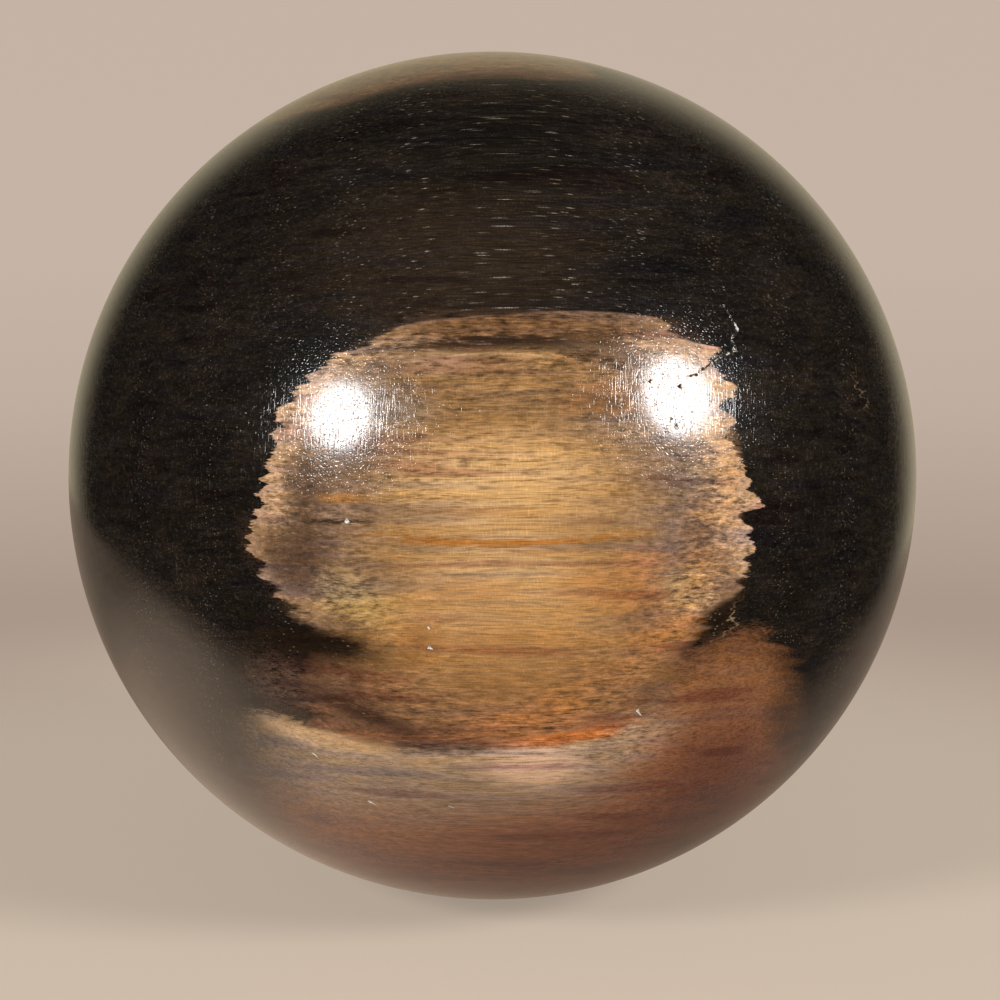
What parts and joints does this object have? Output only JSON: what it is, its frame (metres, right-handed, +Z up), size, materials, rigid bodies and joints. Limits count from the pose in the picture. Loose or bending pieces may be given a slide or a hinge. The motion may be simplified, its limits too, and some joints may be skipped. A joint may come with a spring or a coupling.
{
  "type": "petrified wood sphere",
  "caption": "Solid polished ball of petrified wood, near black with a tan and gold oval of banded grain, for display in a ring stand.",
  "frame": {"origin": "centre of the ball", "axes": "+Z up, -Y towards the front, which shows the tan oval, X along the wood's grain"},
  "size_m": [0.095, 0.095, 0.095],
  "materials": {
    "petrified_wood": "polished"
  },
  "bodies": {
    "root": {"petrified_wood_ball": "petrified_wood"}
  },
  "joints": []
}
